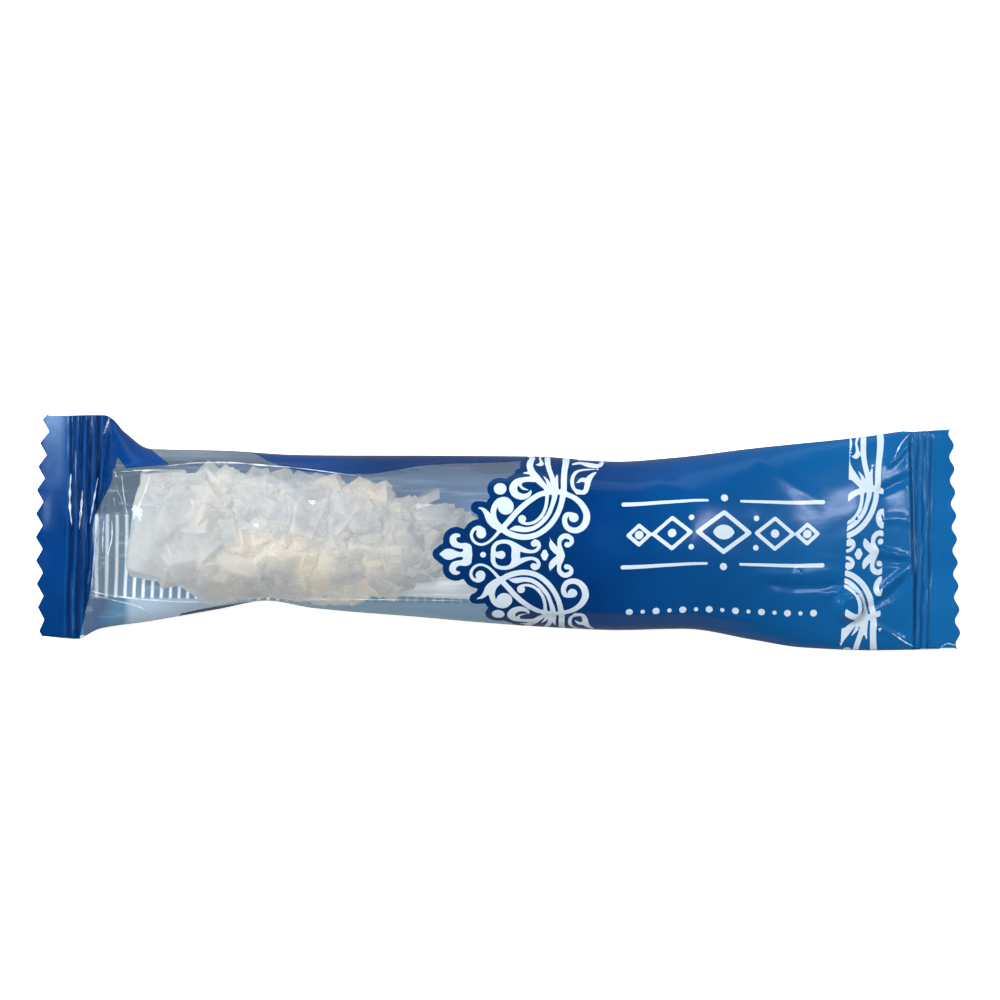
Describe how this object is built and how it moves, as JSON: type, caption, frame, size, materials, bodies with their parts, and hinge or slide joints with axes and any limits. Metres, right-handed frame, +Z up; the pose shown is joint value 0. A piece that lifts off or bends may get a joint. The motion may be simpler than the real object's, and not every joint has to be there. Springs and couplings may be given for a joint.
{
  "type": "wrapped rock candy stick",
  "caption": "Rock candy stick sealed in a blue printed flow-wrap pack with a clear window, toothed crimped ends and a folded back seam.",
  "frame": {"origin": "centre of the pack's footprint, on the table it lies on", "axes": "+X along the pack from the candy end to the stick end, +Y across it, +Z up out of the printed front"},
  "size_m": [0.165, 0.0402, 0.0246],
  "materials": {
    "printed_film": "glossy printed film with a clear window"
  },
  "bodies": {
    "root": {"sealed_pack": "printed_film"}
  },
  "joints": []
}
